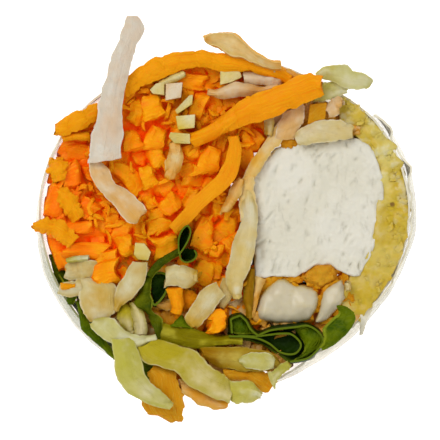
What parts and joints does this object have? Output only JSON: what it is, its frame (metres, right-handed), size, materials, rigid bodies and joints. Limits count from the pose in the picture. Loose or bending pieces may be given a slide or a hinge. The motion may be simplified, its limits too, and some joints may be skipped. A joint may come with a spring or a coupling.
{
  "type": "sliced rice paper roll",
  "caption": "Cut piece of a rice paper roll standing on its base, with tofu, carrot, cabbage and leaves showing at the cut face.",
  "frame": {"origin": "centre of the flat base, on the roll's axis", "axes": "+Z along the roll's axis from the base to the cut face in view, +Y towards the long cabbage strip's free end"},
  "size_m": [0.0588, 0.0609, 0.0499],
  "materials": {
    "carrot": "moist cut carrot",
    "white_cabbage": "moist, slightly translucent",
    "green_cabbage": "moist, pale green",
    "leaf_green": "glossy dark leaf with light edges",
    "tofu": "moist, crumbly cut face",
    "seasoned_layer": "granular, golden, dark specks",
    "rice_paper": "thin translucent film with a soft sheen"
  },
  "bodies": {
    "root": {"cabbage_band": "white_cabbage", "cabbage_boat_strip": "white_cabbage", "cabbage_crescent": "white_cabbage", "cabbage_cube": "white_cabbage", "cabbage_cut_lower": "green_cabbage", "cabbage_cut_middle": "green_cabbage", "cabbage_cut_upper": "green_cabbage", "cabbage_diagonal_strip": "white_cabbage", "cabbage_fan": "white_cabbage", "cabbage_flap_upper": "white_cabbage", "cabbage_green_sliver": "green_cabbage", "cabbage_long_strip": "white_cabbage", "cabbage_lower_strip": "white_cabbage", "cabbage_pale_green_leaf": "green_cabbage", "cabbage_pale_wedge": "green_cabbage", "cabbage_pink_piece": "white_cabbage", "cabbage_pink_strip": "white_cabbage", "cabbage_short_strip": "white_cabbage", "cabbage_slab": "white_cabbage", "cabbage_square_piece": "white_cabbage", "cabbage_strip_end": "white_cabbage", "cabbage_top_curl": "white_cabbage", "cabbage_upper_block": "white_cabbage", "cabbage_upper_strip": "white_cabbage", "cabbage_white_chunk": "white_cabbage", "carrot_bottom_flag": "carrot", "carrot_bundle": "carrot", "carrot_curved_strip": "carrot", "carrot_diagonal_strip": "carrot", "carrot_end_upper_right": "carrot", "carrot_left_tip": "carrot", "carrot_lower_strip": "carrot", "carrot_orange_chunk": "carrot", "carrot_orange_wedge": "carrot", "carrot_top_arc": "carrot", "carrot_under_tofu": "carrot", "green_stem_band": "green_cabbage", "green_strip_end": "green_cabbage", "green_strip_large": "green_cabbage", "green_strip_left": "green_cabbage", "green_strip_small": "green_cabbage", "green_strip_yellow": "green_cabbage", "leaf_crumpled": "leaf_green", "leaf_fold_inner": "leaf_green", "leaf_fold_outer": "leaf_green", "leaf_left_flap": "leaf_green", "leaf_right": "leaf_green", "leaf_small_loop": "leaf_green", "leaf_stem": "leaf_green", "leaf_under_paper": "leaf_green", "lower_cabbage": "white_cabbage", "rice_paper_wrap": "rice_paper", "seasoned_layer": "seasoned_layer", "tofu_block": "tofu", "upper_cabbage": "white_cabbage", "white_rib_large": "white_cabbage", "white_rib_slanted": "white_cabbage"}
  },
  "joints": []
}
